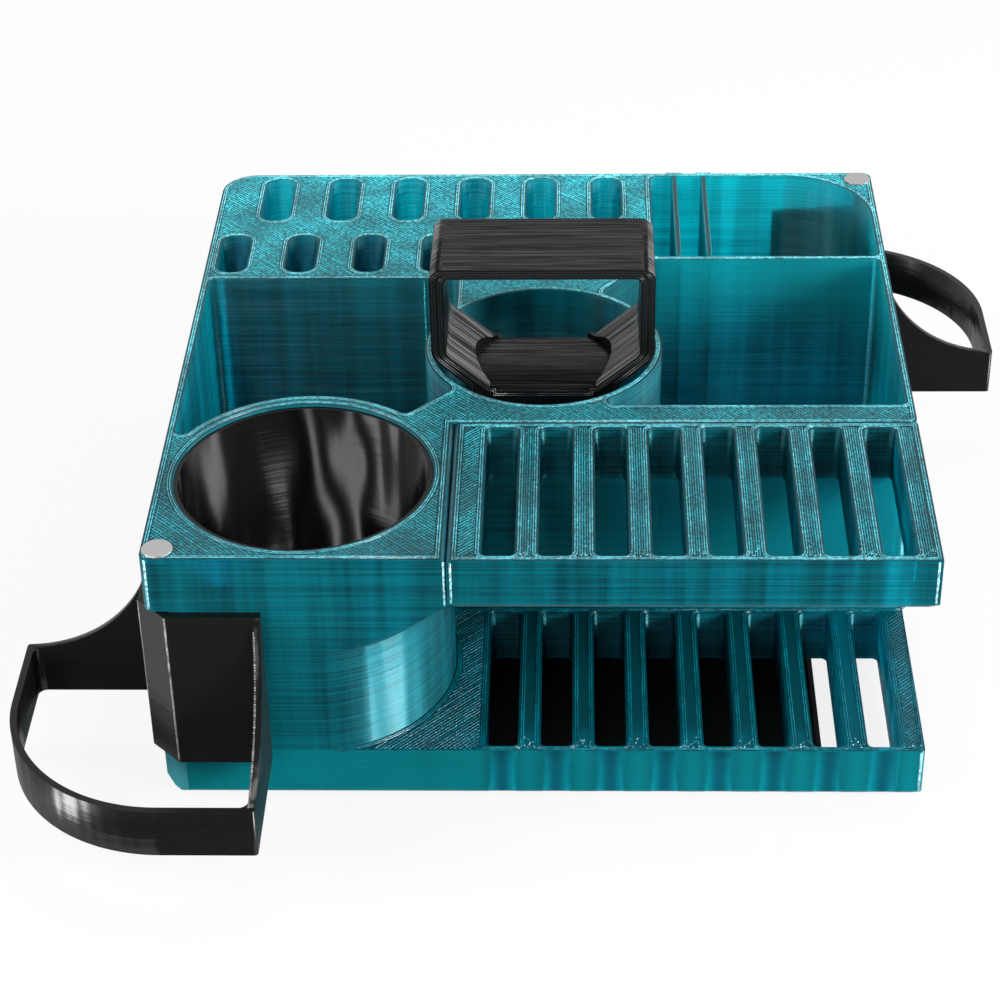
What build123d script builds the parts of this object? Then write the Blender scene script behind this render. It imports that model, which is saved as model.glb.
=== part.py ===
from build123d import *
from math import atan2, degrees, hypot, sqrt
import os

# Driving dimensions, in millimetres.
# The origin lies under the middle of the caddy, on the surface that it stands on.
# +X points right, +Y away from the slotted racks' side, and +Z up.

# Housing
body_width = 250.0
body_depth = 255.0
body_height = 97.0
outer_wall = 2.5
floor_thickness = 2.4
bottom_bevel = 3.0
front_left_radius = 3.0
back_left_radius = 13.0
back_right_radius = 3.5
front_right_radius = 1.5
compartment_corner = 2.5

# Base pad
pad_thickness = 3.0
pad_side_inset = 30.5
pad_end_inset = 26.0
pad_bevel = 2.0

# Racks: the slotted base and the slotted upper rack share one pattern
rack_thickness = 20.0
rack_depth = 77.5
rack_overhang = 0.6
rack_opening_count = 8
rack_opening_width = 10.6
rack_bar = 7.23
rack_opening_margin = 7.8
rack_opening_front = 2.2
rack_opening_back = 3.2
rack_opening_radius = 2.0
front_wall = 11.3

# Seam between the cup block and the upper rack
seam_gap = 0.6
seam_groove = 1.0

# Tongues that hold the upper rack in the front wall
tongue_count = 3
tongue_width = 16.0
tongue_height = 10.0
tongue_length = 7.0
tongue_clearance = 0.15

# Cup in the front left corner
cup_block_width = 95.5
cup_centre_depth = 47.0
cup_bore_radius = 42.4
cup_lip = 18.4
liner_clearance = 0.3
liner_wall = 1.3
liner_floor = 2.0
liner_rim_drop = 0.8

# Round well in the middle
well_bore_radius = 38.5
well_wall = 2.8
web_width = 4.6
ledge_height = 8.0
ledge_overhang = 5.8
ledge_half_angle = 54.0

# Slot block at the back left
slot_block_width = 165.0
slot_block_depth = 81.0
slot_columns = 6
slot_pitch = 25.15
slot_width = 11.0
slot_radius = 4.5
slot_depth = 85.0
back_slot_start = 22.2
back_slot_length = 32.6
back_slot_inset = 4.0
front_slot_start = 9.6
front_slot_length = 27.0
front_slot_inset = 5.3
land_left = 93.5
land_right = 146.1
land_step = 9.5

# Corner compartment and its dividers
corner_room_depth = 62.5
middle_wall = 2.6
corner_scoop_radius = 31.3
divider_thickness = 2.0
divider_first = 8.3
divider_pitch = 11.25
divider_end_gap = 1.7
groove_depth = 1.0
groove_clearance = 0.15

# Carry handle
handle_width = 76.4
handle_depth = 36.0
handle_rise = 40.3
handle_bar = 3.7
handle_leg = 4.8
handle_top_radius = 4.5
handle_inner_radius = 2.0
handle_shoulder_radius = 8.0
funnel_start = 5.7
funnel_inner_start = 7.0
funnel_inner_half_width = 18.3
funnel_inner_drop = 5.8
stem_half_width = 26.2
stem_shoulder_drop = 5.2
pocket_radius = 23.8
pocket_drop = 7.8
lug_height = 9.0
lug_clearance = 0.4

# Holsters
holster_drop = 20.6
holster_height = 59.2
holster_plate = 3.0
holster_span = 37.0
holster_arm_wall = 2.4
holster_facet_leg = 9.6
holster_reach = 47.9
holster_band_height = 17.8
holster_band_wall = 2.3
holster_arc_radius = 54.05
holster_inner_radius = 3.0
holster_outer_radius = 1.2
notch_clearance = 0.3
peg_radius = 3.0
peg_length = 7.0
peg_spread = 28.0
peg_clearance = 0.3
rear_holster_lift = 3.0

# Corner magnets
magnet_radius = 5.0
magnet_height = 3.0
magnet_proud = 0.5
magnet_inset = 5.4
magnet_clearance = 0.05

# Places worked out from them
left = -body_width / 2
right = body_width / 2
front = -body_depth / 2
back = body_depth / 2
bottom = pad_thickness
deck = bottom + body_height
floor_top = bottom + floor_thickness
base_top = bottom + rack_thickness
rack_back = front + rack_depth
wall_back = rack_back + front_wall
cup_x = left + cup_block_width / 2
cup_y = front + cup_centre_depth
cup_radius = cup_block_width / 2
block_right = left + cup_block_width
rack_left = block_right + seam_gap
well_radius = well_bore_radius + well_wall
slot_block_right = left + slot_block_width
slot_block_front = back - slot_block_depth
room_front = back - outer_wall - corner_room_depth
far = body_width + body_depth


def block(x0, x1, y0, y1, z0, z1):
    """A box between two corners."""
    return Pos((x0 + x1) / 2, (y0 + y1) / 2, (z0 + z1) / 2) * Box(x1 - x0, y1 - y0, z1 - z0)


def rod(x, y, radius, z0, z1):
    """An upright cylinder."""
    return Pos(x, y, (z0 + z1) / 2) * Cylinder(radius, z1 - z0)


def prism(sketch, z0, z1):
    """A flat sketch raised between two heights."""
    return Pos(0, 0, z0) * extrude(sketch, z1 - z0)


def rectangle(x0, x1, y0, y1):
    """A flat rectangle between two corners."""
    return Pos((x0 + x1) / 2, (y0 + y1) / 2) * Rectangle(x1 - x0, y1 - y0)


def polygon(*points):
    """A flat face through the given points."""
    return make_face(Polyline(*points, close=True))


def corner_of(sketch, x, y):
    """The vertex of a sketch that is nearest to a place."""
    return sketch.vertices().sort_by_distance((x, y, 0))[0]


def rounded(sketch, radius):
    """A sketch with all its corners rounded."""
    return fillet(sketch.vertices(), radius)


def room(sketch):
    """A compartment cut from its outline, open at the top."""
    return prism(sketch, floor_top, deck + 1)


def footprint():
    """The outline of the whole caddy seen from above."""
    outline = rectangle(left, right, front, back)
    outline = fillet(corner_of(outline, left, front), front_left_radius)
    outline = fillet(corner_of(outline, left, back), back_left_radius)
    outline = fillet(corner_of(outline, right, back), back_right_radius)
    return fillet(corner_of(outline, right, front), front_right_radius)


def tub():
    """The solid block of the caddy, with the racks' front zone cut away above the base."""
    box = block(left, right, front, back, bottom, deck)
    box = chamfer(box.faces().sort_by(Axis.Z)[0].edges(), bottom_bevel)
    upper = rectangle(left, right, rack_back, back)
    upper = fillet(corner_of(upper, right, rack_back), front_left_radius)
    lower = rectangle(left, right, front, back)
    step = prism(lower, bottom, base_top) + prism(upper, base_top, deck) + cup_block()
    return box & prism(footprint(), bottom, deck) & step


def cup_block():
    """The cup's square block, whose right half is a cylinder that flares to the square at the top."""
    square = block(left, block_right, front, rack_back, bottom, deck)
    left_half = block(left, cup_x, front, rack_back, bottom, deck)
    corner_distance = hypot(cup_radius, cup_centre_depth)
    flare_top = deck - cup_lip
    flare_bottom = flare_top - (corner_distance - cup_radius)
    profile = make_face(Polyline(
        (0, bottom),
        (cup_radius, bottom),
        (cup_radius, flare_bottom),
        (corner_distance, flare_top),
        (corner_distance, deck),
        (0, deck),
        close=True,
    ))
    turned = Pos(cup_x, cup_y, 0) * revolve(Plane.XZ * profile, Axis.Z)
    return left_half + (square & turned)


def left_room():
    """The left compartment, between the cup, the well and the slot block."""
    outline = rectangle(left + outer_wall, left + land_left, cup_y, slot_block_front)
    outline -= Pos(cup_x, cup_y) * Circle(cup_radius)
    outline -= Circle(well_radius)
    turn = degrees(atan2(-cup_y, -cup_x))
    length = hypot(cup_x, cup_y)
    web = rectangle(0, length, -length, web_width / 2)
    outline -= Pos(cup_x, cup_y) * Rot(0, 0, turn) * web
    return rounded(outline, compartment_corner)


def right_room():
    """The right front compartment, between the front wall, the well and the middle wall."""
    outline = rectangle(0, right - outer_wall, wall_back, room_front - middle_wall)
    outline -= Circle(well_radius)
    land_front = slot_block_front - land_step
    slant_run = slot_block_width - land_right
    slant_rise = room_front - land_front
    reach = far / slant_run
    outline -= polygon(
        (left + land_right - reach * slant_run, land_front - reach * slant_rise),
        (left + land_right + reach * slant_run, land_front + reach * slant_rise),
        (left - far, back + far),
    )
    return rounded(outline, compartment_corner)


def corner_room():
    """The back right compartment, with a scooped corner behind the magnet."""
    outline = rectangle(slot_block_right, right - outer_wall, room_front, back - outer_wall)
    scooped = fillet(corner_of(outline, right, back), corner_scoop_radius)
    square_corners = [
        corner_of(scooped, slot_block_right, room_front),
        corner_of(scooped, slot_block_right, back),
        corner_of(scooped, right, room_front),
    ]
    return fillet(square_corners, compartment_corner)


def slot(x, y_middle, length):
    """One blade slot."""
    outline = Pos(x, y_middle) * RectangleRounded(slot_width, length, slot_radius)
    return prism(outline, deck - slot_depth, deck + 1)


def slots():
    """Both rows of blade slots."""
    back_y = back - back_slot_inset - back_slot_length / 2
    front_y = slot_block_front + front_slot_inset + front_slot_length / 2
    cuts = []
    for column in range(slot_columns):
        shift = left + column * slot_pitch
        cuts.append(slot(shift + back_slot_start, back_y, back_slot_length))
        cuts.append(slot(shift + front_slot_start, front_y, front_slot_length))
    return cuts


def rack_openings(z0, z1):
    """The row of long openings that both racks share."""
    y0 = front + rack_opening_front
    y1 = rack_back - rack_opening_back
    cuts = []
    for number in range(rack_opening_count):
        x1 = right - rack_opening_margin - number * (rack_opening_width + rack_bar)
        x_middle = x1 - rack_opening_width / 2
        outline = Pos(x_middle, (y0 + y1) / 2) * RectangleRounded(
            rack_opening_width, y1 - y0, rack_opening_radius
        )
        cuts.append(prism(outline, z0, z1))
    return cuts


def tongue_places():
    """The middles of the tongues along the upper rack."""
    span = right - rack_left
    return [rack_left + span * (number + 0.5) / tongue_count for number in range(tongue_count)]


def tongue(x, clearance):
    """One tongue of the upper rack, or its mortise when given a clearance."""
    z_middle = deck - rack_thickness / 2
    half_width = tongue_width / 2 + clearance
    half_height = tongue_height / 2 + clearance
    return block(
        x - half_width,
        x + half_width,
        rack_back,
        rack_back + tongue_length + clearance,
        z_middle - half_height,
        z_middle + half_height,
    )


def seam():
    """The V groove along the top of the seam between the cup block and the rack."""
    x = block_right + seam_gap / 2
    half = seam_gap / 2 + seam_groove
    profile = polygon((x - half, deck), (x + half, deck), (x, deck - half))
    face = Plane(origin=(0, front - rack_overhang - 1, 0), x_dir=(1, 0, 0), z_dir=(0, -1, 0)) * profile
    return extrude(face, -(rack_depth + rack_overhang + 1))


def well_ledges():
    """The two ledges low in the well that the handle's lugs turn under."""
    z0 = floor_top + lug_height + lug_clearance
    inner = well_bore_radius - ledge_overhang
    ring = rod(0, 0, well_bore_radius + well_wall / 2, z0, z0 + ledge_height)
    ring -= rod(0, 0, inner, z0 - 1, z0 + ledge_height + 1)
    wedge_end = far
    spread = wedge_end * tan_of(ledge_half_angle)
    wedge = polygon((0, 0), (wedge_end, spread), (wedge_end, -spread))
    sector = prism(wedge, z0 - 1, z0 + ledge_height + 1)
    other = Rot(0, 0, 180) * sector
    return (ring & sector) + (ring & other)


def tan_of(angle):
    """The tangent of an angle in degrees."""
    direction = Vector(1, 0).rotate(Axis.Z, angle)
    return direction.Y / direction.X


def divider_places():
    """The left faces of the two dividers."""
    first = slot_block_right + divider_first
    return [first, first + divider_pitch]


def divider_grooves():
    """The grooves in the floor and the back wall that the dividers stand in."""
    cuts = []
    for x in divider_places():
        cuts.append(block(
            x - groove_clearance,
            x + divider_thickness + groove_clearance,
            room_front + divider_end_gap - groove_clearance,
            back - outer_wall + groove_depth + groove_clearance,
            floor_top - groove_depth,
            deck + 1,
        ))
    return cuts


def magnet_places():
    """The middles of the two magnets, each in from its corner."""
    return [(left + magnet_inset, front + magnet_inset), (right - magnet_inset, back - magnet_inset)]


def magnet(x, y):
    """A disc magnet, pressed in with its face a little proud."""
    z0 = deck + magnet_proud - magnet_height
    disc = rod(x, y, magnet_radius, z0, z0 + magnet_height)
    return chamfer(disc.edges(), magnet_proud / 2)


def magnet_pocket(x, y):
    """The pocket that a magnet is pressed into."""
    z0 = deck + magnet_proud - magnet_height
    return rod(x, y, magnet_radius + magnet_clearance, z0, deck + 1)


def facet_line():
    """How far along each face the inside of the holster's facet starts, from the body's corner."""
    return holster_facet_leg - 2 * holster_plate + holster_plate * sqrt(2)


def peg(start, length, radius, height):
    """A peg along the corner's diagonal, in the holster's own corner frame."""
    along = Vector(1, 1, 0).normalized()
    foot = Vector(facet_line() / 2, facet_line() / 2, height) + along * start
    axis = Plane(origin=foot, z_dir=along)
    return extrude(axis * Circle(radius), length)


def peg_heights():
    """The heights of a holster's two pegs."""
    middle = deck - holster_drop - holster_height / 2
    return [middle - peg_spread / 2, middle + peg_spread / 2]


def holster_notch():
    """What a holster's corner takes out of the housing, open at the bottom, in the corner frame."""
    reach = facet_line() + notch_clearance * sqrt(2)
    top = deck - holster_drop + notch_clearance
    beyond = holster_plate * 2
    outline = polygon((reach + beyond, -beyond), (-beyond, reach + beyond), (-beyond, -beyond))
    cut = prism(outline, -far, top)
    for height in peg_heights():
        cut += peg(0, peg_length + peg_clearance, peg_radius + peg_clearance, height)
    return cut


def at_corners(shape):
    """A shape of the corner frame, placed at the front left corner and higher at the back right one."""
    placed = Pos(left, front, 0) * shape
    return [placed, Pos(0, 0, rear_holster_lift) * Rot(0, 0, 180) * placed]


def housing():
    body = tub()
    body -= room(left_room())
    body -= room(right_room())
    body -= room(corner_room())
    body -= rod(0, 0, well_bore_radius, floor_top, deck + 1)
    body -= rod(cup_x, cup_y, cup_bore_radius, floor_top, deck + 1)
    body -= slots()
    body -= rack_openings(bottom - 1, base_top + 1)
    body -= [tongue(x, tongue_clearance) for x in tongue_places()]
    body -= divider_grooves()
    body -= [magnet_pocket(x, y) for x, y in magnet_places()]
    body -= at_corners(holster_notch())
    body -= seam()
    return body + well_ledges()


def upper_rack():
    rack = block(rack_left, right, front - rack_overhang, rack_back, deck - rack_thickness, deck)
    under = rack.faces().sort_by(Axis.Z)[0]
    outer = under.edges().sort_by(Axis.Y)[:-1]
    rack = chamfer(outer, bottom_bevel)
    rack -= rack_openings(deck - rack_thickness - 1, deck + 1)
    rack -= seam()
    for x in tongue_places():
        rack += tongue(x, 0)
    return rack


def cup_liner():
    outside = cup_bore_radius - liner_clearance
    rim = deck - liner_rim_drop
    cup = rod(cup_x, cup_y, outside, floor_top, rim)
    cup -= rod(cup_x, cup_y, outside - liner_wall, floor_top + liner_floor, rim + 1)
    return cup


def base_pad():
    pad = block(
        left + pad_side_inset,
        right - pad_side_inset,
        front + pad_end_inset,
        back - pad_end_inset,
        0,
        pad_thickness,
    )
    return chamfer(pad.faces().sort_by(Axis.Z)[-1].edges(), pad_bevel)


def divider(x):
    return block(
        x,
        x + divider_thickness,
        room_front + divider_end_gap,
        back - outer_wall + groove_depth,
        floor_top - groove_depth,
        deck,
    )


def handle_outline():
    """The handle's front view: x to the side, y for height above the origin."""
    half = handle_width / 2
    outline = polygon(
        (-half, deck + handle_rise),
        (half, deck + handle_rise),
        (half, deck + funnel_start),
        (stem_half_width, deck - stem_shoulder_drop),
        (stem_half_width, floor_top),
        (-stem_half_width, floor_top),
        (-stem_half_width, deck - stem_shoulder_drop),
        (-half, deck + funnel_start),
    )
    for side in (-half, half):
        outline = fillet(corner_of(outline, side, deck + handle_rise), handle_top_radius)
        outline = fillet(corner_of(outline, side, deck + funnel_start), handle_shoulder_radius)
    return outline


def handle_window():
    """The finger opening with the funnel's slopes."""
    half = handle_width / 2 - handle_leg
    top = deck + handle_rise - handle_bar
    window = polygon(
        (-half, top),
        (half, top),
        (half, deck + funnel_inner_start),
        (funnel_inner_half_width, deck - funnel_inner_drop),
        (-funnel_inner_half_width, deck - funnel_inner_drop),
        (-half, deck + funnel_inner_start),
    )
    for side in (-half, half):
        window = fillet(corner_of(window, side, top), handle_inner_radius)
        window = fillet(corner_of(window, side, deck + funnel_inner_start), handle_leg)
    return window


def carry_handle():
    upright = Plane(origin=(0, handle_depth / 2, 0), x_dir=(1, 0, 0), z_dir=(0, -1, 0))
    handle = extrude(upright * handle_outline(), handle_depth)
    handle -= extrude(upright * handle_window(), handle_depth)
    handle -= rod(0, 0, pocket_radius, deck - pocket_drop, deck + funnel_inner_start)
    lug_reach = well_bore_radius - lug_clearance
    foot = rod(0, 0, lug_reach, floor_top, floor_top + lug_height)
    foot &= block(-lug_reach, lug_reach, -handle_depth / 2, handle_depth / 2, floor_top, deck)
    return handle + foot


def loop_outline(reach, radius, span):
    """The holster's loop outline, in the corner frame."""
    bend = radius - reach
    start = (span, -reach)
    path = Line(start, (bend, -reach))
    path += Line((-reach, bend), (-reach, span))
    middle = bend - radius / sqrt(2)
    path += ThreePointArc((bend, -reach), (middle, middle), (-reach, bend))
    path += Line((-reach, span), (span, span))
    path += Line((span, span), start)
    return make_face(path)


def holster_arm(foot, top):
    """The front arm, whose top edge sweeps down from the plate to the band."""
    arm_end = holster_band_wall - holster_reach
    arm = block(holster_span - holster_arm_wall, holster_span, arm_end, 0, foot, top)
    sweep = holster_reach - holster_plate
    centre = (holster_span, -holster_reach, foot + holster_band_height + sweep)
    side = Plane(origin=centre, x_dir=(0, 1, 0), z_dir=(1, 0, 0))
    hollow = Circle(sweep) + rectangle(-sweep, sweep, 0, far)
    return arm - extrude(side * hollow, 2 * holster_arm_wall, both=True)


def holster():
    """One holster, in the corner frame: x along the front face, y along the left face."""
    top = deck - holster_drop
    foot = top - holster_height
    leg = holster_facet_leg - holster_plate
    inner = facet_line()
    plates = prism(polygon(
        (holster_span, -holster_plate),
        (leg, -holster_plate),
        (-holster_plate, leg),
        (-holster_plate, holster_span),
        (0, holster_span),
        (0, inner),
        (inner, 0),
        (holster_span, 0),
    ), foot, top)
    outer = loop_outline(holster_reach, holster_arc_radius, holster_span)
    hollow = loop_outline(
        holster_reach - holster_band_wall,
        holster_arc_radius - holster_band_wall,
        holster_span - holster_arm_wall,
    )
    inside = holster_reach - holster_band_wall
    for x, y in ((holster_span, -holster_reach), (-holster_reach, holster_span)):
        outer = fillet(corner_of(outer, x, y), holster_outer_radius)
    for x, y in ((holster_span, -inside), (-inside, holster_span)):
        hollow = fillet(corner_of(hollow, x, y), holster_inner_radius)
    band = outer - hollow - rectangle(-holster_plate, far, -holster_plate, far)
    loop = prism(band, foot, foot + holster_band_height)
    arm = holster_arm(foot, top)
    other_arm = mirror(arm, Plane(origin=(0, 0, 0), z_dir=(1, -1, 0)))
    body = plates + loop + arm + other_arm
    for height in peg_heights():
        body += peg(0, peg_length, peg_radius, height)
    return body


def pieces():
    """Every piece by its name."""
    front_holster, rear_holster = at_corners(holster())
    front_disc, rear_disc = [magnet(x, y) for x, y in magnet_places()]
    left_plate, right_plate = [divider(x) for x in divider_places()]
    return {
        "housing": housing(),
        "upper_rack": upper_rack(),
        "cup_liner": cup_liner(),
        "carry_handle": carry_handle(),
        "front_holster": front_holster,
        "rear_holster": rear_holster,
        "front_magnet": front_disc,
        "rear_magnet": rear_disc,
        "base_pad": base_pad(),
        "left_divider": left_plate,
        "right_divider": right_plate,
    }


os.makedirs("parts", exist_ok=True)
for name, shape in pieces().items():
    export_step(shape, f"parts/{name}.step")
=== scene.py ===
"""The looks of a printed tool caddy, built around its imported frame. Lengths are in metres."""
import math
import random

import bmesh
import bpy
from mathutils import Matrix, Vector


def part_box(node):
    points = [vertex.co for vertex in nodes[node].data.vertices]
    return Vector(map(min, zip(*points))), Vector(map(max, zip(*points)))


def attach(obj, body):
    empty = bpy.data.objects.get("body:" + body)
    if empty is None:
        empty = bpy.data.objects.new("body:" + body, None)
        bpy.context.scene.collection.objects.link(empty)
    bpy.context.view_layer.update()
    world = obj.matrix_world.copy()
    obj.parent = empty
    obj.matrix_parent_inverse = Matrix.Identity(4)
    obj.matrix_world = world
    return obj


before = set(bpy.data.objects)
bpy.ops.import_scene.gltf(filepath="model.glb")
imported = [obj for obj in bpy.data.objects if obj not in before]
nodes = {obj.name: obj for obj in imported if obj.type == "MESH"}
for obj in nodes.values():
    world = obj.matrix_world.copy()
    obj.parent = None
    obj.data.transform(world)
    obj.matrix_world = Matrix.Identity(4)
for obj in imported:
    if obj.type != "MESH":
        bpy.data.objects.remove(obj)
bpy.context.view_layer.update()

mm = 0.001

# Camera, solved from the photograph's straight edges
camera_place = Vector((12.18, -792.31, 582.81)) * mm
camera_pitch = 0.605338
camera_yaw = 0.0359318
camera_roll = -0.0206996
image_width = 1000
focal_pixels = 2651.44
sensor_width = 36.0

# Studio
floor_reach = 6.0
lamp_distance = 2.0
lamp_target = Vector((0.0, 0.0, 0.05))

# Limits for reading outlines off the frame's meshes
same_point = 1e-6
same_height = 1e-5
no_length = 1e-7
facing_up = 0.99
in_line = 0.99999
least_mitre = 0.25

# Heights of the level faces that carry printed lines
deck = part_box("upper_rack")[1].z
base_top = 23.0 * mm

# A printed line: its profile gives places across it, in widths, and their share of its rise
line_width = 0.5 * mm
line_height = 0.32 * mm
line_sink = 0.02 * mm
line_profile = ((-0.5, 0.0), (-0.3, 0.75), (0.0, 1.0), (0.3, 0.75), (0.5, 0.0))

# Perimeters, the lines that follow an outline. Outlines shorter than the shortest have none
perimeter_count = 2
perimeter_start = 0.9 * mm
perimeter_pitch = 0.75 * mm
shortest_outline = 40.0 * mm

# Hatch between the perimeters: each layer's turn, and the lowest and highest share of the rise
hatch_pitch = 1.15 * mm
hatch_margin = 0.25 * mm
hatch_layers = ((0.0, 0.6, 1.0), (math.radians(90), 0.2, 0.5))
shortest_rack_hatch = 4.6 * mm

# Rounding that catches the light
edge_round = 0.6 * mm
edge_round_segments = 2
sharp_edge = math.radians(35)
weld_distance = 0.001 * mm

# Upright seams, beads of plastic along edges, and the crumbs left at the ends of the bars, all pale
# as painted highlights
seam_radius = 0.45 * mm
seam_sides = 8
bead_radius = 0.4 * mm
bead_pitch = 0.9 * mm
bead_unevenness = 0.25
crumb_radius = 0.26 * mm
crumb_reach = 6.0 * mm
crumbs_per_bar = 12

# The racks' bars, as the solids have them. The strip right of the last opening counts as one
bar_pitch = 17.83 * mm
bar_strips = 8
bar_half = 3.2 * mm
bar_end = -125.8 * mm
bar_back = -53.0 * mm
bar_line_offsets = (-1.2 * mm, -0.4 * mm, 0.4 * mm, 1.2 * mm)
bar_line_rise = (0.5, 1.0)
last_opening = 111.9 * mm

# The swept edge of the front holster's arm. Its centre is given as y and z
arm_side = -90.2 * mm
arm_sweep = 44.9 * mm
arm_centre = Vector((-175.4, 82.9)) * mm
arm_beads_start = math.radians(3)
arm_beads_turn = math.radians(78)

# The seam on the back wall of the left compartment, given as x and y
room_seam = Vector((-43.9, 46.4)) * mm
room_seam_foot = 50.0 * mm

# Where light and shade are painted on the teal plastic: the wall behind the rack, and the base's
# front
rack_wall = -50.0 * mm
slab_front = -118.0 * mm
slab_left = -25.0 * mm
slab_fade = 6.0 * mm
opening_shade_strength = 0.96

# Colours of the teal plastic, dark and light, with painted light where it is lit through and
# painted shade where it is dark
teal_dark = (0.0, 0.07, 0.12)
teal_light = (0.0, 0.70, 0.86)
# Painted light on the back rooms' walls, towards the deck
teal_painted_light = (0.0, 0.95, 1.0)
# Painted light on the wall behind the rack
teal_rack_wall_painted_light = (0.0, 0.84, 1.0)
# Painted light on the base's front
teal_slab_painted_light = (0.0, 0.88, 1.0)
# Painted shade where the base's openings show through its front
teal_opening_painted_shade = (0.0, 0.10, 0.16)
# Painted light on the base's level faces
teal_base_top_painted_light = (0.0, 0.24, 0.31)
# Painted shade on the deck's level faces, between the printed lines
teal_deck_painted_shade = (0.0, 0.09, 0.12)


def add_to_scene(name, data):
    """A new object in the scene."""
    made = bpy.data.objects.new(name, data)
    bpy.context.scene.collection.objects.link(made)
    return made


def add_piece(name, mesh, material, body="caddy", slot="teal_print"):
    """A finished, smooth mesh as a piece that rides on a body."""
    for polygon in mesh.polygons:
        polygon.use_smooth = True
    mesh.materials.append(material)
    piece = add_to_scene(name, mesh)
    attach(piece, body)


def add_line_piece(name, vertices, faces, material, **ride):
    """Printed lines or seams as one piece."""
    mesh = bpy.data.meshes.new(name)
    mesh.from_pydata(vertices, [], faces)
    mesh.validate()
    add_piece(name, mesh, material, **ride)


# Outlines of the frame's level faces, and of upright ones once they are turned level
as_it_stands = Matrix.Identity(3)
front_turned_up = Matrix(((1.0, 0.0, 0.0), (0.0, 0.0, 1.0), (0.0, -1.0, 0.0)))


def rim_steps(shape, height):
    """For each point on the rim of the upward faces at one height, the points that follow it."""
    level = [
        face
        for face in shape.faces
        if face.normal.z > facing_up
        and all(abs(v.co.z - height) < same_height for v in face.verts)
    ]
    inside = set(level)
    following = {}
    for face in level:
        for loop in face.loops:
            if not any(other in inside for other in loop.edge.link_faces if other != face):
                step = loop.link_loop_next.vert.index
                following.setdefault(loop.vert.index, []).append(step)
    return following


def closed_walks(following):
    """The rows of points that the steps make. Each step is used once."""
    walks = []
    while following:
        here = next(iter(following))
        walk = []
        while here in following:
            walk.append(here)
            choices = following[here]
            step = choices.pop()
            if not choices:
                del following[here]
            here = step
        walks.append(walk)
    return walks


def level_outlines(node, height, turn):
    """Closed outlines of a node's upward faces at one height, with the plastic on their left."""
    shape = bmesh.new()
    shape.from_mesh(nodes[node].data)
    shape.transform(turn.to_4x4())
    shape.normal_update()
    bmesh.ops.remove_doubles(shape, verts=shape.verts, dist=same_point)
    places = {v.index: v.co.xy.copy() for v in shape.verts}
    walks = closed_walks(rim_steps(shape, height))
    shape.free()
    outlines = [without_straight_points([places[index] for index in walk]) for walk in walks]
    return [outline for outline in outlines if len(outline) > 2]


def with_sides(outline):
    """Each point of an outline, with the side that leads to it and the side that leaves it."""
    for index, point in enumerate(outline):
        following = outline[(index + 1) % len(outline)]
        yield point, point - outline[index - 1], following - point


def without_straight_points(outline):
    """An outline without the points that lie in line with their neighbours."""
    kept = []
    for point, before, after in with_sides(outline):
        if before.length < no_length:
            continue
        if after.length < no_length or before.normalized().dot(after.normalized()) < in_line:
            kept.append(point)
    return kept


def outline_length(outline):
    """The length round an outline."""
    return sum(before.length for _, before, _ in with_sides(outline))


def left_of(direction):
    """The unit vector to the left of a direction."""
    along = direction.normalized()
    return Vector((-along.y, along.x))


def inward(outline):
    """For each point of an outline, the vector that moves it one unit into the plastic."""
    moves = []
    for _, before, after in with_sides(outline):
        first = left_of(before)
        second = left_of(after)
        moves.append((first + second) / max(1.0 + first.dot(second), least_mitre))
    return moves


# Printed lines


def add_bead(vertices, faces, stations, height, rise, closed=False):
    """A printed line through stations, each a point and the unit step across the line there."""
    start = len(vertices)
    width = len(line_profile)
    for point, step in stations:
        for across, up in line_profile:
            place = point + step * (across * line_width)
            vertices.append((place.x, place.y, height - line_sink + up * rise))
    for index in range(len(stations) if closed else len(stations) - 1):
        here = start + index * width
        there = start + (index + 1) % len(stations) * width
        for side in range(width - 1):
            faces.append((here + side, there + side, there + side + 1, here + side + 1))


def add_straight_bead(vertices, faces, first, last, height, rise):
    """A printed line between two points."""
    step = left_of(last - first)
    add_bead(vertices, faces, ((first, step), (last, step)), height, rise)


def add_perimeter(vertices, faces, outline, distance, height):
    """A printed line inside an outline, at a distance from it."""
    stations = [(point + move * distance, move) for point, move in zip(outline, inward(outline))]
    add_bead(vertices, faces, stations, height, line_height, closed=True)


def winding_spans(edges, level):
    """Where a line at one level runs inside the plastic, as pairs of places along it."""
    crossings = []
    for (u0, v0), (u1, v1) in edges:
        if (v0 <= level) != (v1 <= level):
            share = (level - v0) / (v1 - v0)
            crossings.append((u0 + share * (u1 - u0), 1 if v0 > v1 else -1))
    crossings.sort()
    spans = []
    winding = 0
    for place, turn in crossings:
        before = winding
        winding += turn
        if before < 1 <= winding:
            opened = place
        elif winding < 1 <= before:
            spans.append((opened, place))
    return spans


def hatch_lines(outlines, angle, shortest):
    """Straight parallel lines that fill the plastic between the perimeters."""
    along = Vector((math.cos(angle), math.sin(angle)))
    side = Vector((-along.y, along.x))
    inside_perimeters = perimeter_start + (perimeter_count - 0.5) * perimeter_pitch + hatch_margin
    edges = []
    for outline in outlines:
        has_perimeters = outline_length(outline) > shortest_outline
        inset = inside_perimeters if has_perimeters else hatch_margin
        moved = [point + move * inset for point, move in zip(outline, inward(outline))]
        flat = [(point.dot(along), point.dot(side)) for point in moved]
        edges += list(zip(flat, flat[1:] + flat[:1]))
    levels = [v for edge in edges for _, v in edge]
    lowest = min(levels)
    lines = []
    for number in range(int((max(levels) - lowest) / hatch_pitch)):
        level = lowest + (number + 0.5) * hatch_pitch
        for u0, u1 in winding_spans(edges, level):
            if u1 - u0 > shortest:
                lines.append((along * u0 + side * level, along * u1 + side * level))
    return lines


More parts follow.
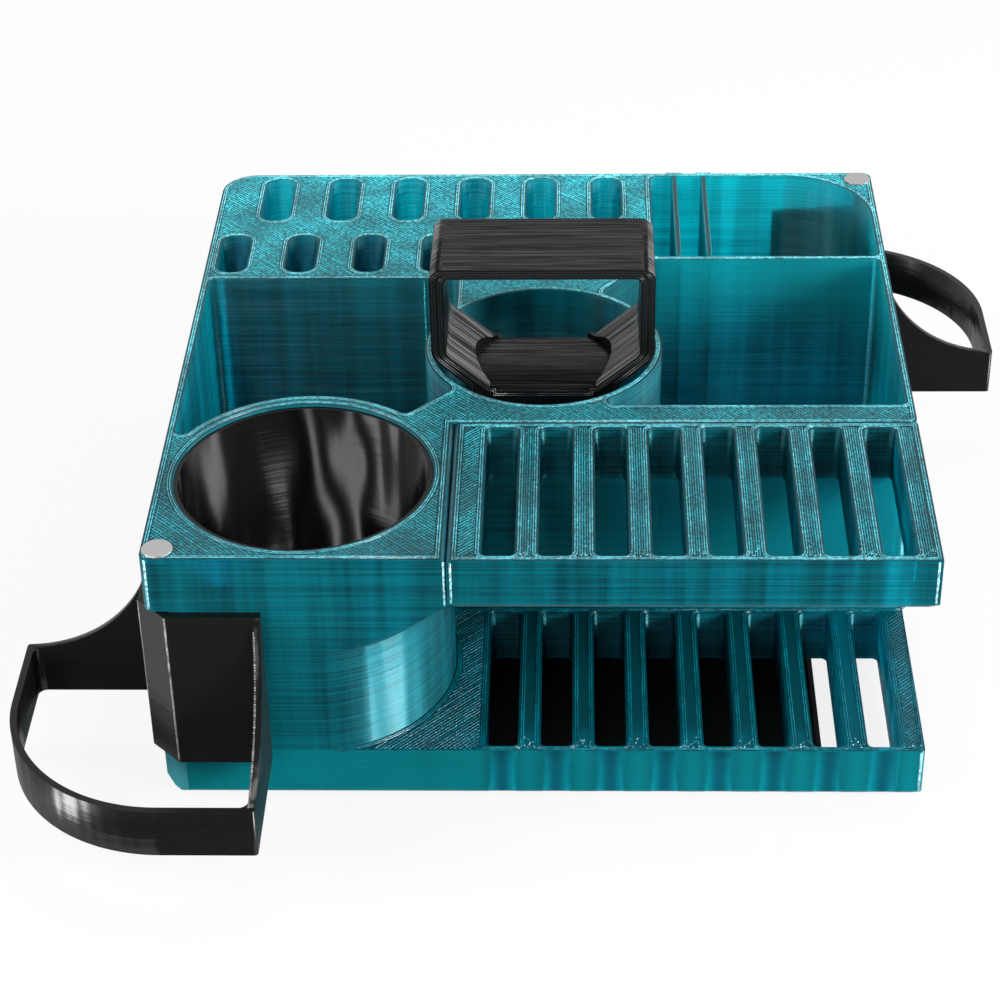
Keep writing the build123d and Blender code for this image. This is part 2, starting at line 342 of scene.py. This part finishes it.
def printed_edges(name, node, height, material, turn=as_it_stands, **ride):
    """The perimeters on a node's level faces, or on its upright ones where it is turned."""
    vertices = []
    faces = []
    for outline in level_outlines(node, height, turn):
        if outline_length(outline) > shortest_outline:
            for number in range(perimeter_count):
                distance = perimeter_start + number * perimeter_pitch
                add_perimeter(vertices, faces, outline, distance, height)
    back = turn.transposed()
    turned = [tuple(back @ Vector(vertex)) for vertex in vertices]
    add_line_piece(name, turned, faces, material, **ride)


def printed_hatch(name, node, height, angle, material, seed, shortest=line_width):
    """The hatch on a node's level faces, with the layer below across it, and no short lines."""
    chance = random.Random(seed)
    outlines = level_outlines(node, height, as_it_stands)
    vertices = []
    faces = []
    for turn, low, high in hatch_layers:
        for first, last in hatch_lines(outlines, angle + turn, shortest):
            rise = line_height * chance.uniform(low, high)
            add_straight_bead(vertices, faces, first, last, height, rise)
    add_line_piece(name, vertices, faces, material)


def printed_bars(name, material, seed):
    """Lines along the upper rack's bars and its right edge, between their perimeters."""
    chance = random.Random(seed)
    vertices = []
    faces = []
    for middle in bar_middles():
        for offset in bar_line_offsets:
            first = Vector((middle + offset, bar_end))
            last = Vector((middle + offset, bar_back))
            rise = line_height * chance.uniform(*bar_line_rise)
            add_straight_bead(vertices, faces, first, last, deck, rise)
    add_line_piece(name, vertices, faces, material)


def bar_middles():
    """Where the middles of the racks' bars are, from right to left."""
    return [last_opening - (number - 0.5) * bar_pitch for number in range(bar_strips)]


# Seams, beads and crumbs, pale as painted highlights


def seams(name, places, material, **ride):
    """Upright round seams. Each place is x, y, low and high, in millimetres."""
    turns = [2.0 * math.pi * number / seam_sides for number in range(seam_sides)]
    vertices = []
    faces = []
    for place in places:
        x, y, low, high = (value * mm for value in place)
        foot = len(vertices)
        top = foot + seam_sides
        for z in (low, high):
            for turn in turns:
                east = x + seam_radius * math.cos(turn)
                north = y + seam_radius * math.sin(turn)
                vertices.append((east, north, z))
        for number in range(seam_sides):
            following = (number + 1) % seam_sides
            faces.append((foot + number, foot + following, top + following, top + number))
        faces.append(tuple(range(top - 1, foot - 1, -1)))
        faces.append(tuple(range(top, top + seam_sides)))
    add_line_piece(name, vertices, faces, material, **ride)


def beads(name, places, radius, material, seed, **ride):
    """Small round beads of uneven size."""
    chance = random.Random(seed)
    shape = bmesh.new()
    for middle in places:
        size = radius * chance.uniform(1.0 - bead_unevenness, 1.0 + bead_unevenness)
        spot = Matrix.Translation(middle)
        bmesh.ops.create_icosphere(shape, subdivisions=1, radius=size, matrix=spot)
    mesh = bpy.data.meshes.new(name)
    shape.to_mesh(mesh)
    shape.free()
    add_piece(name, mesh, material, **ride)


def arm_bead_places():
    """Along the swept edge of the front holster's arm."""
    places = []
    for number in range(int(arm_sweep * arm_beads_turn / bead_pitch)):
        turn = arm_beads_start + number * bead_pitch / arm_sweep
        y = arm_centre.x + arm_sweep * math.sin(turn)
        z = arm_centre.y - arm_sweep * math.cos(turn)
        places.append(Vector((arm_side, y, z)))
    return places


def room_bead_places():
    """Up the seam on the back wall of the left compartment."""
    count = int((deck - room_seam_foot) / bead_pitch)
    return [Vector((*room_seam, room_seam_foot + number * bead_pitch)) for number in range(count)]


def crumb_places(height, seed):
    """Where crumbs were left at the front ends of the bars, most of them near the end."""
    chance = random.Random(seed)
    places = []
    for middle in bar_middles():
        for _ in range(crumbs_per_bar):
            y = bar_end + chance.uniform(0.0, crumb_reach) * chance.uniform(0.0, 1.0)
            x = middle + chance.uniform(-bar_half, bar_half)
            places.append(Vector((x, y, height)))
    return places


# Materials


class Shader:
    """A short way to write the nodes of a material or of the world."""

    def __init__(self, owner, output="ShaderNodeOutputMaterial"):
        owner.use_nodes = True
        self.owner = owner
        self.tree = owner.node_tree
        self.tree.nodes.clear()
        self.output = self.node(output)

    def node(self, kind, settings=None, **inputs):
        """A new node. An input has its name, with _ for a space, or its number, as in i0."""
        made = self.tree.nodes.new(kind)
        for key, value in (settings or {}).items():
            setattr(made, key, value)
        for key, value in inputs.items():
            self.put(made, key.replace("_", " "), value)
        return made

    def put(self, made, key, value):
        """Links an input to another node's output, or sets its value."""
        numbered = key[0] == "i" and key[1:].isdigit()
        socket = made.inputs[int(key[1:])] if numbered else made.inputs[key]
        if isinstance(value, bpy.types.NodeSocket):
            self.tree.links.new(value, socket)
        elif isinstance(value, tuple) and len(value) == 3 and socket.type == "RGBA":
            socket.default_value = (*value, 1.0)
        else:
            socket.default_value = value

    def math(self, operation, first, second=0.0, third=0.0, clamp=False):
        """A sum on up to three numbers."""
        settings = {"operation": operation, "use_clamp": clamp}
        return self.node("ShaderNodeMath", settings, i0=first, i1=second, i2=third).outputs[0]

    def product(self, first, *others):
        """Numbers multiplied together."""
        for other in others:
            first = self.math("MULTIPLY", first, other)
        return first

    def scaled(self, vector, factor):
        """A vector or colour times a number."""
        settings = {"operation": "SCALE"}
        return self.node("ShaderNodeVectorMath", settings, i0=vector, Scale=factor).outputs[0]

    def place(self):
        """The point on the piece, in metres."""
        return self.node("ShaderNodeTexCoord").outputs["Object"]

    def normal(self):
        """The direction that the surface faces."""
        return self.node("ShaderNodeNewGeometry").outputs["Normal"]

    def split(self, vector):
        """The three parts of a vector."""
        return self.node("ShaderNodeSeparateXYZ", Vector=vector).outputs

    def noise(self, vector, scale, detail):
        """Noise whose scale is one number, or a tuple with one for each axis."""
        if isinstance(scale, tuple):
            vector = self.node("ShaderNodeMapping", Vector=vector, Scale=scale).outputs[0]
            scale = 1.0
        return self.node("ShaderNodeTexNoise", Vector=vector, Scale=scale, Detail=detail).outputs[0]

    def ramp(self, value, low, high, bottom=0.0, top=1.0, kind="SMOOTHSTEP"):
        """From bottom at low to top at high, level beyond both."""
        made = self.node("ShaderNodeMapRange", {"interpolation_type": kind}, Value=value)
        ends = (("From Min", low), ("From Max", high), ("To Min", bottom), ("To Max", top))
        for key, number in ends:
            self.put(made, key, number)
        return made.outputs[0]

    def mix(self, share, first, second):
        """The first colour at a share of 0 and the second at 1."""
        settings = {"data_type": "RGBA"}
        return self.node("ShaderNodeMix", settings, i0=share, i6=first, i7=second).outputs[2]

    def bump(self, height, strength, distance):
        """Normals roughened by a height."""
        made = self.node("ShaderNodeBump", Height=height, Strength=strength, Distance=distance)
        return made.outputs[0]

    def principled(self, **inputs):
        """The shader of nearly all the materials."""
        return self.node("ShaderNodeBsdfPrincipled", **inputs)

    def finish(self, surface):
        """Puts a shader on the surface, and gives back what now has it."""
        self.tree.links.new(surface.outputs[0], self.output.inputs["Surface"])
        return self.owner


def material_shader(name):
    """The nodes of a new material."""
    return Shader(bpy.data.materials.new(name))


def layer_noise(s, place, axis, across, through):
    """Noise that is broad across the printed layers and fine through them."""
    scale = tuple(through if number == axis else across for number in range(3))
    return s.noise(place, scale, 2.0)


def on_sides(s, normal, axis):
    """1 on faces that run along an axis, and 0 on those that lie across it."""
    return s.ramp(s.math("ABSOLUTE", s.split(normal)[axis]), 0.9, 0.6)


def layered_normal(s, place, axis, tilt, spread, bumped=None):
    """Normals tilted by the fine layers that the plastic is printed in, stacked along an axis."""
    if bumped is None:
        bumped = s.normal()
    fine = layer_noise(s, place, axis, across=25.0, through=3000.0)
    broad = layer_noise(s, place, axis, across=10.0, through=1100.0)
    uneven = s.math("SUBTRACT", s.math("MULTIPLY_ADD", broad, 0.3, fine), 0.65)
    lift = s.math("MULTIPLY_ADD", uneven, 4.0 * spread, tilt)
    lift = s.product(lift, on_sides(s, bumped, axis))
    turned = s.node("ShaderNodeCombineXYZ", **{"XYZ"[axis]: lift}).outputs[0]
    tilted = s.node("ShaderNodeVectorMath", {"operation": "ADD"}, i0=bumped, i1=turned).outputs[0]
    return s.node("ShaderNodeVectorMath", {"operation": "NORMALIZE"}, i0=tilted).outputs[0]


def print_tone(s, place):
    """How light the plastic is: streaks of its layers, upright bands, and infill behind them."""
    streaks = s.ramp(s.noise(place, (9.0, 9.0, 1500.0), 3.0), 0.36, 0.64)
    bands = s.ramp(s.noise(place, (130.0, 130.0, 6.0), 2.0), 0.35, 0.65)
    infill = s.ramp(s.noise(place, (700.0, 700.0, 25.0), 1.0), 0.35, 0.65)
    tone = s.math("MULTIPLY_ADD", infill, 0.1, s.product(streaks, 0.45))
    return s.math("MULTIPLY_ADD", bands, 0.4, tone)


def back_rooms_painted_light(s, across, along, high):
    """Painted light: how much walls lighten towards the deck, mostly those of the middle and corner
    rooms.
    """
    upper = s.ramp(high, 55.0 * mm, 100.0 * mm, 0.0, 0.7)
    behind = s.ramp(along, 0.0 * mm, 40.0 * mm)
    before_back = s.ramp(along, 120.0 * mm, 80.0 * mm, 0.25, 1.0)
    right = s.ramp(across, 30.0 * mm, 45.0 * mm, 0.2, 1.0)
    return s.product(upper, behind, before_back, right)


def rack_wall_painted_light(s, across, along, facing):
    """Painted light: how much the wall behind the rack lightens towards its open right end."""
    front_side = s.ramp(along, rack_wall - 2.0 * mm, rack_wall - 0.5 * mm)
    back_side = s.ramp(along, rack_wall + 2.0 * mm, rack_wall + 0.5 * mm)
    forward = s.ramp(facing, -0.6, -0.9)
    right = s.ramp(across, -10.0 * mm, 70.0 * mm, 0.15, 0.95)
    return s.product(front_side, back_side, forward, right)


def slab_painted_light_and_shade(s, colour, across, along, high):
    """The front of the slotted base: painted light on it, and painted shade in stripes where its
    openings show dark through the plastic.
    """
    below_top = s.ramp(high, base_top + 0.5 * mm, base_top - 0.5 * mm)
    slab = s.product(below_top, s.ramp(along, slab_front, slab_front - slab_fade))
    # Painted shade, in stripes where the openings lie behind the front
    phase = s.product(s.math("SUBTRACT", across, last_opening), 2.0 * math.pi / bar_pitch)
    half = 0.5 * opening_shade_strength
    openings = s.math("MULTIPLY_ADD", s.math("COSINE", phase), half, half)
    openings = s.product(openings, s.ramp(across, slab_left, slab_left + slab_fade))
    # Painted light over the slab's front
    colour = s.mix(s.product(slab, 0.8), colour, teal_slab_painted_light)
    return s.mix(s.product(slab, openings), colour, teal_opening_painted_shade)


def teal_colour(s, place):
    """The colour of the teal plastic, on its sides and on its level faces, with painted light and
    shade laid on both.
    """
    across, along, high = s.split(place)
    facing = s.split(s.normal())
    colour = s.mix(print_tone(s, place), teal_dark, teal_light)
    colour = s.mix(back_rooms_painted_light(s, across, along, high), colour, teal_painted_light)
    colour = slab_painted_light_and_shade(s, colour, across, along, high)
    colour = s.mix(rack_wall_painted_light(s, across, along, facing[1]), colour, teal_rack_wall_painted_light)
    # Level faces: painted light on the base's, painted shade between the printed lines on the
    # deck's
    above_base = s.ramp(high, base_top + 1.0 * mm, base_top + 7.0 * mm)
    level_colour = s.mix(above_base, teal_base_top_painted_light, teal_deck_painted_shade)
    return s.mix(s.ramp(facing[2], 0.8, 0.95), colour, level_colour)


def teal_print():
    """Translucent teal plastic with layer lines on its sides."""
    s = material_shader("teal_print")
    place = s.place()
    tilted = layered_normal(s, place, axis=2, tilt=0.55, spread=0.14)
    skin = s.principled(
        Base_Color=teal_colour(s, place),
        Roughness=0.38,
        Normal=tilted,
        IOR=1.5,
        Transmission_Weight=0.84,
        Specular_Tint=(0.1, 0.85, 1.0),
        Specular_IOR_Level=1.0,
        Coat_Weight=0.4,
        Coat_Roughness=0.26,
        Coat_IOR=1.3,
        Coat_Normal=tilted,
    )
    depth = s.node("ShaderNodeVolumeAbsorption", Color=(0.0, 0.2, 0.4), Density=50.0)
    s.put(s.output, "Volume", depth.outputs[0])
    return s.finish(skin)


def teal_line(name, front, back, height):
    """The same plastic where it lies as single lines, from its front colour to its back one as
    painted backlight, with painted shade low on each line.
    """
    s = material_shader(name)
    place = s.place()
    _, along, high = s.split(place)
    # Painted backlight: lighter from the front to the back
    colour = s.mix(s.ramp(along, -100.0 * mm, 120.0 * mm), front, back)
    grain = s.noise(place, 700.0, 3.0)
    specks = s.ramp(grain, 0.3, 0.7, 0.5, 1.5)
    patches = s.ramp(s.noise(place, 60.0, 2.0), 0.3, 0.7, 0.65, 1.3)
    # Painted light and shade: lighter at the crest of each line, darker at its foot
    crest_painted_light = s.ramp(high, height, height + line_height, 0.45, 1.45)
    skin = s.principled(
        Base_Color=s.scaled(colour, s.product(specks, patches, crest_painted_light)),
        Roughness=0.22,
        Normal=s.bump(grain, strength=0.8, distance=0.2 * mm),
        IOR=1.5,
    )
    return s.finish(skin)


def black_print(name, axis, tilt, spread, shine, painted_slope_light):
    """Satin black print with fine layer lines stacked along an axis, with painted light on its
    slopes.
    """
    s = material_shader(name)
    place = s.place()
    facing = s.split(s.normal())
    # Painted light on the slopes that face sideways and up
    sideways = s.ramp(s.math("ABSOLUTE", facing[0]), 0.4, 0.6)
    upwards = s.ramp(facing[2], 0.2, 0.4)
    strands = s.ramp(s.noise(place, (25.0, 1600.0, 25.0), 2.0), 0.4, 0.65)
    skin = s.principled(
        Base_Color=s.mix(s.product(sideways, upwards, strands), (0.005, 0.005, 0.005), painted_slope_light),
        Roughness=0.24,
        Normal=layered_normal(s, place, axis, tilt, spread),
        IOR=1.45,
        Specular_IOR_Level=shine,
    )
    return s.finish(skin)


def black_line():
    """Black printed lines that catch more light than the faces that they lie on, from their bumps
    and from a lighter colour, a painted highlight.
    """
    s = material_shader("black_line")
    grain = s.noise(s.place(), 900.0, 2.0)
    skin = s.principled(
        Base_Color=(0.012, 0.012, 0.012),
        Roughness=0.2,
        Normal=s.bump(grain, strength=0.6, distance=0.1 * mm),
    )
    return s.finish(skin)


def gloss_black():
    """The glossy black of the cup's liner, slightly wavy on its upright faces."""
    s = material_shader("gloss_black")
    place = s.place()
    waves = s.noise(place, (45.0, 45.0, 14.0), 1.0)
    bumps = s.product(waves, on_sides(s, s.normal(), axis=2))
    bumped = s.bump(bumps, strength=1.0, distance=6.0 * mm)
    skin = s.principled(
        Base_Color=(0.002, 0.002, 0.002),
        Roughness=0.17,
        Normal=layered_normal(s, place, axis=2, tilt=0.9, spread=0.05, bumped=bumped),
        IOR=1.5,
        Specular_IOR_Level=0.36,
    )
    return s.finish(skin)


def painted_glint(name, colour):
    """A pale grainy colour, a painted highlight on the seams, beads and crumbs that carry it."""
    s = material_shader(name)
    grain = s.ramp(s.noise(s.place(), 900.0, 2.0), 0.3, 0.7, 0.3, 1.7)
    return s.finish(s.principled(Base_Color=s.scaled(colour, grain), Roughness=0.3))


def nickel():
    """Bright nickel plate with a fine grain."""
    s = material_shader("nickel")
    grain = s.noise(s.place(), 2500.0, 3.0)
    skin = s.principled(
        Base_Color=(0.60, 0.60, 0.59),
        Roughness=0.35,
        Normal=s.bump(grain, strength=0.3, distance=0.05 * mm),
        Metallic=1.0,
    )
    return s.finish(skin)


def pad_rubber():
    """Matt black rubber with a fine grain."""
    s = material_shader("pad_rubber")
    grain = s.noise(s.place(), 1200.0, 3.0)
    skin = s.principled(
        Base_Color=(0.004, 0.004, 0.004),
        Roughness=0.8,
        Normal=s.bump(grain, strength=0.3, distance=0.1 * mm),
        Specular_IOR_Level=0.2,
    )
    return s.finish(skin)


def dress(names, material, rounding=0.0):
    """Gives CAD nodes their material and, where asked, rounded edges that catch the light."""
    for name in names:
        piece = nodes[name]
        piece.data.materials.clear()
        piece.data.materials.append(material)
        if rounding:
            piece.modifiers.new("weld", "WELD").merge_threshold = weld_distance
            edges = piece.modifiers.new("rounded_edges", "BEVEL")
            edges.width = rounding
            edges.segments = edge_round_segments
            edges.angle_limit = sharp_edge
            edges.harden_normals = True


# Studio


def studio_floor():
    """A pale floor that shows white and keeps a faint shadow."""
    mesh = bpy.data.meshes.new("floor")
    corners = [
        (x * floor_reach, y * floor_reach, 0.0)
        for x, y in ((-1, -1), (1, -1), (1, 1), (-1, 1))
    ]
    mesh.from_pydata(corners, [], [(0, 1, 2, 3)])
    s = material_shader("floor")
    path = s.node("ShaderNodeLightPath").outputs
    seen = s.math("MULTIPLY_ADD", path["Is Glossy Ray"], 0.6, path["Is Camera Ray"], clamp=True)
    seen = s.math("MULTIPLY_ADD", path["Is Transmission Ray"], 0.4, seen, clamp=True)
    plain = s.node("ShaderNodeBsdfDiffuse", Color=(0.8, 0.8, 0.8)).outputs[0]
    white = s.node("ShaderNodeEmission", Color=(1.0, 1.0, 1.0), Strength=1.0).outputs[0]
    mixed = s.node("ShaderNodeMixShader", i0=s.product(seen, 0.85), i1=plain, i2=white)
    mesh.materials.append(s.finish(mixed))
    add_to_scene("floor", mesh)


def studio_world():
    """White low behind the object, dimmer above and dark from the camera's side."""
    world = bpy.data.worlds.new("studio")
    bpy.context.scene.world = world
    s = Shader(world, "ShaderNodeOutputWorld")
    direction = s.split(s.node("ShaderNodeTexCoord").outputs["Generated"])
    behind = s.ramp(direction[1], -0.6, 0.5, 0.1, 0.9, "LINEAR")
    low = s.ramp(direction[2], 0.42, 0.66, 1.0, 0.4, "LINEAR")
    lit = s.node("ShaderNodeBackground", Color=s.product(behind, low)).outputs[0]
    white = s.node("ShaderNodeBackground", Color=(1.0, 1.0, 1.0)).outputs[0]
    seen = s.node("ShaderNodeLightPath").outputs["Is Camera Ray"]
    s.finish(s.node("ShaderNodeMixShader", i0=seen, i1=lit, i2=white))


def softbox(name, place, width, height, power):
    """A rectangular lamp that faces the object."""
    lamp = bpy.data.lights.new(name, "AREA")
    lamp.shape = "RECTANGLE"
    lamp.size = width
    lamp.size_y = height
    lamp.energy = power
    holder = add_to_scene(name, lamp)
    holder.location = place
    holder.rotation_euler = (lamp_target - Vector(place)).to_track_quat("-Z", "Y").to_euler()


def around(azimuth, elevation):
    """A lamp's place at a set distance in a direction given in degrees."""
    flat = lamp_distance * math.cos(math.radians(elevation))
    x = flat * math.cos(math.radians(azimuth))
    y = flat * math.sin(math.radians(azimuth))
    return (x, y, lamp_distance * math.sin(math.radians(elevation)))


def studio_camera():
    """The camera at the photograph's place and angle."""
    forward = Vector((0.0, math.cos(camera_pitch), -math.sin(camera_pitch)))
    up = Vector((0.0, math.sin(camera_pitch), math.cos(camera_pitch)))
    right = Vector((1.0, 0.0, 0.0))
    level = right * math.cos(camera_roll) + up * math.sin(camera_roll)
    upright = up * math.cos(camera_roll) - right * math.sin(camera_roll)
    turn = Matrix((level, upright, -forward)).transposed().to_4x4()
    yaw = Matrix.Rotation(camera_yaw, 4, "Z")
    data = bpy.data.cameras.new("camera")
    data.sensor_width = sensor_width
    data.lens = focal_pixels / image_width * sensor_width
    camera = add_to_scene("camera", data)
    camera.matrix_world = Matrix.Translation(camera_place) @ yaw @ turn
    bpy.context.scene.camera = camera


def dress_nodes():
    """Finishes every CAD node."""
    teal = teal_print()
    handle_black = black_print(
        "black_handle", axis=1, tilt=-0.2, spread=0.32, shine=0.24, painted_slope_light=(0.16, 0.16, 0.16)
    )
    holster_black = black_print(
        "black_print", axis=2, tilt=0.5, spread=0.1, shine=0.5, painted_slope_light=(0.01, 0.01, 0.01)
    )
    dress(["housing", "upper_rack", "left_divider", "right_divider"], teal, edge_round)
    dress(["carry_handle"], handle_black, edge_round)
    dress(["front_holster", "rear_holster"], holster_black, edge_round)
    dress(["cup_liner"], gloss_black())
    dress(["front_magnet", "rear_magnet"], nickel())
    dress(["base_pad"], pad_rubber())


def add_printed_lines():
    """The lines that the print shows on its level faces and on the front of the handle."""
    line = teal_line("teal_line", (0.004, 0.205, 0.25), (0.045, 0.56, 0.655), deck)
    # Painted highlight: the perimeters along the top edges are a lighter copy of the lines
    edge = teal_line("teal_edge_painted_highlight", (0.04, 0.25, 0.30), (0.10, 0.48, 0.54), deck)
    # Painted shade: the lines on the base's top are a darker copy of the lines
    deep_shade = teal_line("teal_deep_painted_shade", (0.0, 0.12, 0.16), (0.0, 0.16, 0.20), base_top)
    printed_edges("housing_top_edges", "housing", deck, edge)
    printed_edges("rack_top_edges", "upper_rack", deck, edge)
    printed_edges("base_top_edges", "housing", base_top, deep_shade)
    printed_edges(
        "handle_front_lines",
        "carry_handle",
        -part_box("carry_handle")[0].y,
        black_line(),
        front_turned_up,
        body="handle",
        slot="black_print",
    )
    falling = math.radians(-45)
    rising = math.radians(45)
    printed_hatch("housing_top_hatch", "housing", deck, falling, line, seed=1)
    printed_hatch(
        "rack_top_hatch", "upper_rack", deck, rising, line, seed=2, shortest=shortest_rack_hatch
    )
    printed_bars("rack_bar_lines", line, seed=10)
    printed_hatch(
        "base_top_hatch", "housing", base_top, rising, deep_shade, seed=3, shortest=shortest_rack_hatch
    )


def add_seams_and_beads():
    """Seams at corners, a row of beads on the arm and in a compartment, and crumbs on the racks,
    pale as painted highlights.
    """
    # Pale colours: painted highlights along corners, on beads and on crumbs
    glint = painted_glint("teal_glint", (0.30, 0.62, 0.66))
    black_glint = painted_glint("black_painted_glint", (0.22, 0.22, 0.22))
    bright_glint = painted_glint("teal_bright_glint", (0.10, 0.95, 0.95))
    on_holster = {"body": "front_hanger", "slot": "black_print"}
    teal_corners = (
        (-123.2, -127.05, 80.4, 99.4),
        (-29.85, -127.2, 82.2, 99.0),
        (-27.7, -127.85, 83.4, 99.0),
        (123.7, -127.85, 83.4, 99.4),
        (123.7, -127.2, 6.4, 22.4),
    )
    holster_corners = ((-118.25, -130.15, 21.0, 79.0), (-127.65, -120.75, 42.0, 79.0))
    seams("corner_seams", teal_corners, glint)
    seams("holster_seams", holster_corners, black_glint, **on_holster)
    beads("arm_beads", arm_bead_places(), bead_radius, black_glint, seed=4, **on_holster)
    beads("room_beads", room_bead_places(), bead_radius, bright_glint, seed=9)
    beads("rack_crumbs", crumb_places(deck, seed=5), crumb_radius, glint, seed=6)
    beads("base_crumbs", crumb_places(base_top, seed=7), crumb_radius, glint, seed=8)


def add_softboxes():
    """The lamps, from the left round to the right, and the one above."""
    softbox("left_softbox", (-1.45, -0.65, 0.36), 0.35, 0.5, 16.0)
    for number, (azimuth, elevation) in enumerate(((-105, 42), (-135, 40), (-165, 42))):
        softbox(f"high_softbox_{number + 1}", around(azimuth, elevation), 0.22, 0.7, 3.0)
    softbox("middle_softbox", around(-54, 40), 0.2, 0.5, 3.0)
    softbox("front_softbox", (1.3, -0.85, 0.6), 0.5, 0.6, 34.0)
    softbox("right_softbox", (1.5, 0.3, 0.9), 0.4, 0.5, 3.0)
    softbox("top_softbox", (0.0, 0.5, 1.6), 1.0, 0.6, 9.0)


dress_nodes()
add_printed_lines()
add_seams_and_beads()
studio_floor()
studio_world()
add_softboxes()
studio_camera()
bpy.context.scene.view_settings.view_transform = "Standard"
